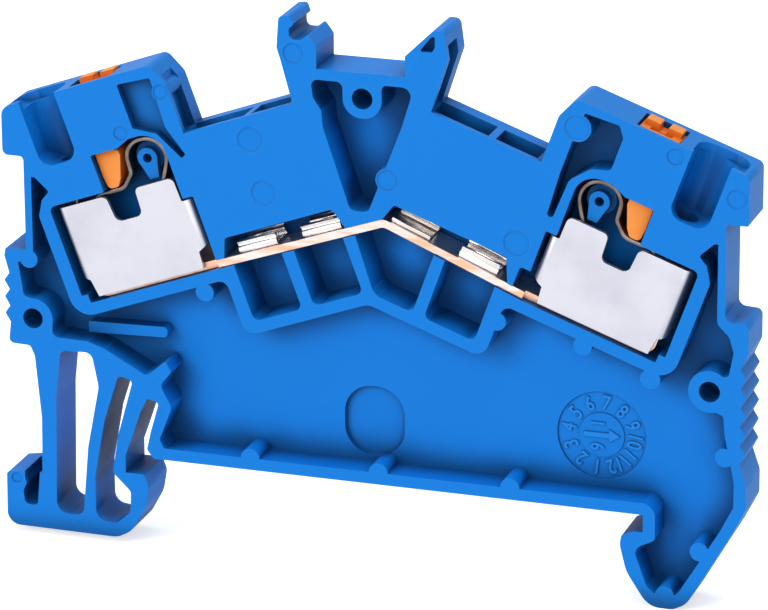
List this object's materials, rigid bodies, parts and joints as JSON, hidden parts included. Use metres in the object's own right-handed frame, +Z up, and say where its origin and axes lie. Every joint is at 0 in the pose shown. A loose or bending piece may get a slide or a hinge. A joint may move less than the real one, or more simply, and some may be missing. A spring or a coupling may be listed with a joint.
{
  "type": "feed-through terminal block",
  "caption": "Slim rail-mounted feed-through terminal block with an open side, spring clamps, push buttons, a bent current bar and a snap foot.",
  "frame": {"origin": "on the rail seat, in the middle of the housing's thickness, midway between the two spring clamps", "axes": "+X along the block towards the fixed hook, +Y towards the closed back, +Z up and away from the rail"},
  "size_m": [0.0505, 0.0054, 0.0373],
  "materials": {
    "housing_plastic": "satin moulded polyamide",
    "button_plastic": "satin moulded plastic",
    "cage_metal": "tin plated",
    "spring_steel": "bright rolled strip",
    "tinned_copper": "tin plated copper"
  },
  "bodies": {
    "housing": {"housing": "housing_plastic", "current_bar": "tinned_copper", "left_cage": "cage_metal", "right_cage": "cage_metal", "left_spring": "spring_steel", "right_spring": "spring_steel", "bridge_clip_left_outer": "tinned_copper", "bridge_clip_left_inner": "tinned_copper", "bridge_clip_right_inner": "tinned_copper", "bridge_clip_right_outer": "tinned_copper"},
    "left_button": {"left_button": "button_plastic"},
    "right_button": {"right_button": "button_plastic"}
  },
  "joints": [
    {"name": "left_button_press", "type": "slide", "parent": "housing", "child": "left_button", "axis": [0.342, 0, -0.9397], "range_m": [0, 0.0012], "stiffness_N_per_m": 2000, "springref_m": -0.001, "deforming": ["left_spring"]},
    {"name": "right_button_press", "type": "slide", "parent": "housing", "child": "right_button", "axis": [-0.342, 0, -0.9397], "range_m": [0, 0.0012], "stiffness_N_per_m": 2000, "springref_m": -0.001, "deforming": ["right_spring"]}
  ]
}
